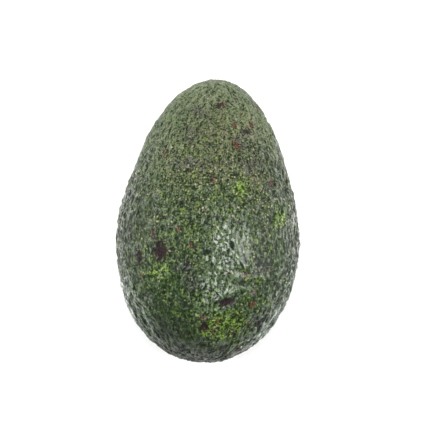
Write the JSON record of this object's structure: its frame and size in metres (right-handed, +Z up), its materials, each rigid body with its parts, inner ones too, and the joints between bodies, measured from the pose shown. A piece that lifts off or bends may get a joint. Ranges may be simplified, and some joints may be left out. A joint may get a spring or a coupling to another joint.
{
  "type": "avocado",
  "caption": "Whole pebble-skinned avocado lying on its side, with the woody button of its stem in a socket at the narrow end.",
  "frame": {"origin": "centre of the small flat spot under the fruit, on the surface that it rests on", "axes": "+Z up, +Y along the fruit towards its narrow stem end, +X to the right seen from the blossom end"},
  "size_m": [0.067, 0.1062, 0.0642],
  "materials": {
    "skin": "satin, pebbled, dark green with pale dots",
    "stem": "dry and corky"
  },
  "bodies": {
    "root": {"fruit_body": "skin", "stem_button": "stem"}
  },
  "joints": []
}
